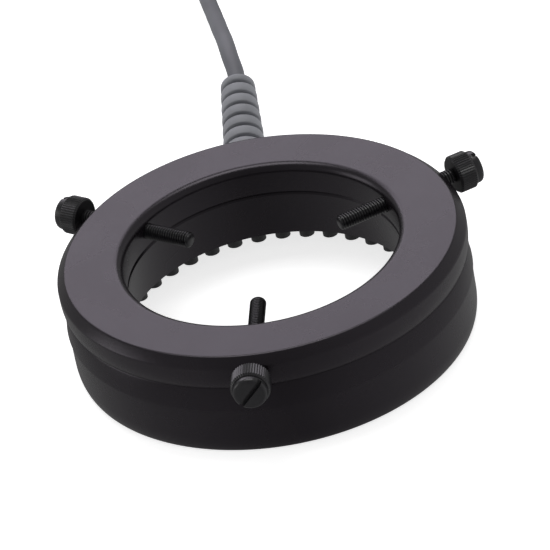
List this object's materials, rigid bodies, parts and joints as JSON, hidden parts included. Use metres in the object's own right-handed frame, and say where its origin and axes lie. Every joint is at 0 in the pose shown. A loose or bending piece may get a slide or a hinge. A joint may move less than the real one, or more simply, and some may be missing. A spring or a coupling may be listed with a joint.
{
  "type": "microscope LED ring light",
  "caption": "Ring light that clamps round a stereo microscope's objective with knurled thumbscrews, with LEDs facing down and a cord with strain relief.",
  "frame": {"origin": "on the ring's axis, in the plane of the three clamping thumbscrews", "axes": "+Z along the ring's axis, up towards the microscope that it clamps to; the cord leaves towards +Y"},
  "size_m": [0.119, 0.3017, 0.0274],
  "materials": {
    "ring_metal": "satin grey-black anodised aluminium",
    "housing_metal": "satin black anodised aluminium",
    "carrier_plastic": "matt black moulded plastic",
    "board_laminate": "green solder mask",
    "led_epoxy": "water-clear epoxy",
    "resistor_body": "matt ceramic chip",
    "spacer_metal": "turned",
    "screw_steel": "zinc plated",
    "relief_rubber": "matt grey moulded",
    "red_wire": "satin",
    "black_wire": "satin",
    "solder": "bright solder",
    "thumbscrew_steel": "blackened steel",
    "cord_jacket": "matt grey jacket",
    "tie_strap": "woven hook-and-loop strap",
    "plug_plastic": "matt moulded",
    "plug_metal": "nickel plated",
    "contact_brass": "bright"
  },
  "bodies": {
    "ring": {"clamp_ring": "ring_metal", "lamp_housing": "housing_metal", "led_carrier": "carrier_plastic", "circuit_board": "board_laminate", "inner_leds": "led_epoxy", "outer_leds": "led_epoxy", "resistors": "resistor_body", "upper_spacers": "spacer_metal", "lower_spacers": "spacer_metal", "carrier_screws": "screw_steel", "ring_screws": "screw_steel", "strain_relief": "relief_rubber", "red_lead": "red_wire", "black_lead": "black_wire", "lead_solder": "solder", "cord_run": "cord_jacket", "cord_coil": "cord_jacket", "cord_tail": "cord_jacket", "coil_tie": "tie_strap", "plug_grip": "plug_plastic", "plug_sleeve": "plug_metal", "plug_insulator": "plug_plastic", "plug_contact": "contact_brass"},
    "front_screw_shank": {"front_screw_shank": "thumbscrew_steel"},
    "front_screw_knob": {"front_screw_knob": "thumbscrew_steel"},
    "right_screw_shank": {"right_screw_shank": "thumbscrew_steel"},
    "right_screw_knob": {"right_screw_knob": "thumbscrew_steel"},
    "left_screw_shank": {"left_screw_shank": "thumbscrew_steel"},
    "left_screw_knob": {"left_screw_knob": "thumbscrew_steel"}
  },
  "joints": [
    {"name": "front_screw_travel", "type": "slide", "parent": "ring", "child": "front_screw_shank", "axis": [-0.1564, -0.9877, 0], "range_m": [-0.0016, 0.014]},
    {"name": "front_screw_turn", "type": "hinge", "parent": "front_screw_shank", "child": "front_screw_knob", "pos_m": [-0.00809, -0.05106, 0], "axis": [-0.1564, -0.9877, 0], "range_deg": [-822, 7200]},
    {"name": "right_screw_travel", "type": "slide", "parent": "ring", "child": "right_screw_shank", "axis": [0.9336, 0.3584, 0], "range_m": [-0.0029, 0.0127]},
    {"name": "right_screw_turn", "type": "hinge", "parent": "right_screw_shank", "child": "right_screw_knob", "pos_m": [0.04948, 0.01899, 0], "axis": [0.9336, 0.3584, 0], "range_deg": [-1491, 6531]},
    {"name": "left_screw_travel", "type": "slide", "parent": "ring", "child": "left_screw_shank", "axis": [-0.7771, 0.6293, 0], "range_m": [-0.0027, 0.0129]},
    {"name": "left_screw_turn", "type": "hinge", "parent": "left_screw_shank", "child": "left_screw_knob", "pos_m": [-0.04103, 0.03323, 0], "axis": [-0.7771, 0.6293, 0], "range_deg": [-1388, 6634]}
  ],
  "couplings": [
    {"joint": "front_screw_turn", "follows": "front_screw_travel", "rad_per_m": 8976},
    {"joint": "right_screw_turn", "follows": "right_screw_travel", "rad_per_m": 8976},
    {"joint": "left_screw_turn", "follows": "left_screw_travel", "rad_per_m": 8976}
  ]
}
